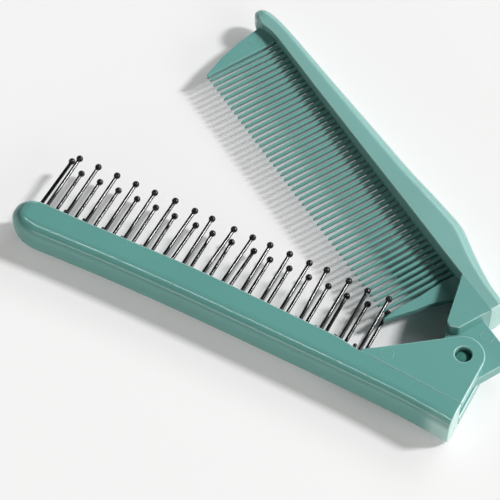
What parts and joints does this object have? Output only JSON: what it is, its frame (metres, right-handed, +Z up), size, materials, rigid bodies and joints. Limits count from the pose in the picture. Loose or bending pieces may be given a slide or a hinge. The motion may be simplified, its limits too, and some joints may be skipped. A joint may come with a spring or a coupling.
{
  "type": "folding pocket styling brush",
  "caption": "Folding pocket brush: a slim arm with ball-tipped pins and a fine comb arm that turn about one hinge pin, shown half open.",
  "frame": {"origin": "on the table, under the centre of the part's bounding box in the half-open rest pose", "axes": "+Z up from the table, along the hinge axis; the brush arm runs along -X from the hinge and its pins point to +Y"},
  "size_m": [0.1164, 0.0831, 0.0102],
  "materials": {
    "teal_plastic": "satin moulded plastic",
    "black_pin_plastic": "glossy nylon"
  },
  "bodies": {
    "brush_arm": {"brush_back": "teal_plastic", "brush_carrier": "teal_plastic", "hinge_pin": "teal_plastic", "pin_upper_01": "black_pin_plastic", "pin_upper_02": "black_pin_plastic", "pin_upper_03": "black_pin_plastic", "pin_upper_04": "black_pin_plastic", "pin_upper_05": "black_pin_plastic", "pin_upper_06": "black_pin_plastic", "pin_upper_07": "black_pin_plastic", "pin_upper_08": "black_pin_plastic", "pin_upper_09": "black_pin_plastic", "pin_upper_10": "black_pin_plastic", "pin_upper_11": "black_pin_plastic", "pin_upper_12": "black_pin_plastic", "pin_upper_13": "black_pin_plastic", "pin_upper_14": "black_pin_plastic", "pin_upper_15": "black_pin_plastic", "pin_upper_16": "black_pin_plastic", "pin_upper_17": "black_pin_plastic", "pin_lower_01": "black_pin_plastic", "pin_lower_02": "black_pin_plastic", "pin_lower_03": "black_pin_plastic", "pin_lower_04": "black_pin_plastic", "pin_lower_05": "black_pin_plastic", "pin_lower_06": "black_pin_plastic", "pin_lower_07": "black_pin_plastic", "pin_lower_08": "black_pin_plastic", "pin_lower_09": "black_pin_plastic", "pin_lower_10": "black_pin_plastic", "pin_lower_11": "black_pin_plastic", "pin_lower_12": "black_pin_plastic", "pin_lower_13": "black_pin_plastic", "pin_lower_14": "black_pin_plastic", "pin_lower_15": "black_pin_plastic", "pin_lower_16": "black_pin_plastic", "pin_lower_17": "black_pin_plastic", "pin_short_01": "black_pin_plastic", "pin_short_02": "black_pin_plastic", "pin_short_03": "black_pin_plastic", "pin_short_04": "black_pin_plastic", "pin_short_05": "black_pin_plastic", "pin_short_06": "black_pin_plastic", "pin_short_07": "black_pin_plastic", "pin_short_08": "black_pin_plastic", "pin_short_09": "black_pin_plastic", "pin_short_10": "black_pin_plastic", "pin_short_11": "black_pin_plastic", "pin_short_12": "black_pin_plastic", "pin_short_13": "black_pin_plastic", "pin_short_14": "black_pin_plastic", "pin_short_15": "black_pin_plastic", "pin_short_16": "black_pin_plastic", "pin_nose": "black_pin_plastic"},
    "comb_arm": {"comb_back": "teal_plastic", "comb_teeth": "teal_plastic"}
  },
  "joints": [
    {"name": "arm_fold", "type": "hinge", "parent": "brush_arm", "child": "comb_arm", "pos_m": [0.04964, -0.02411, 0.0051], "axis": [0, 0, -1], "range_deg": [-30.25, 149.75]}
  ]
}
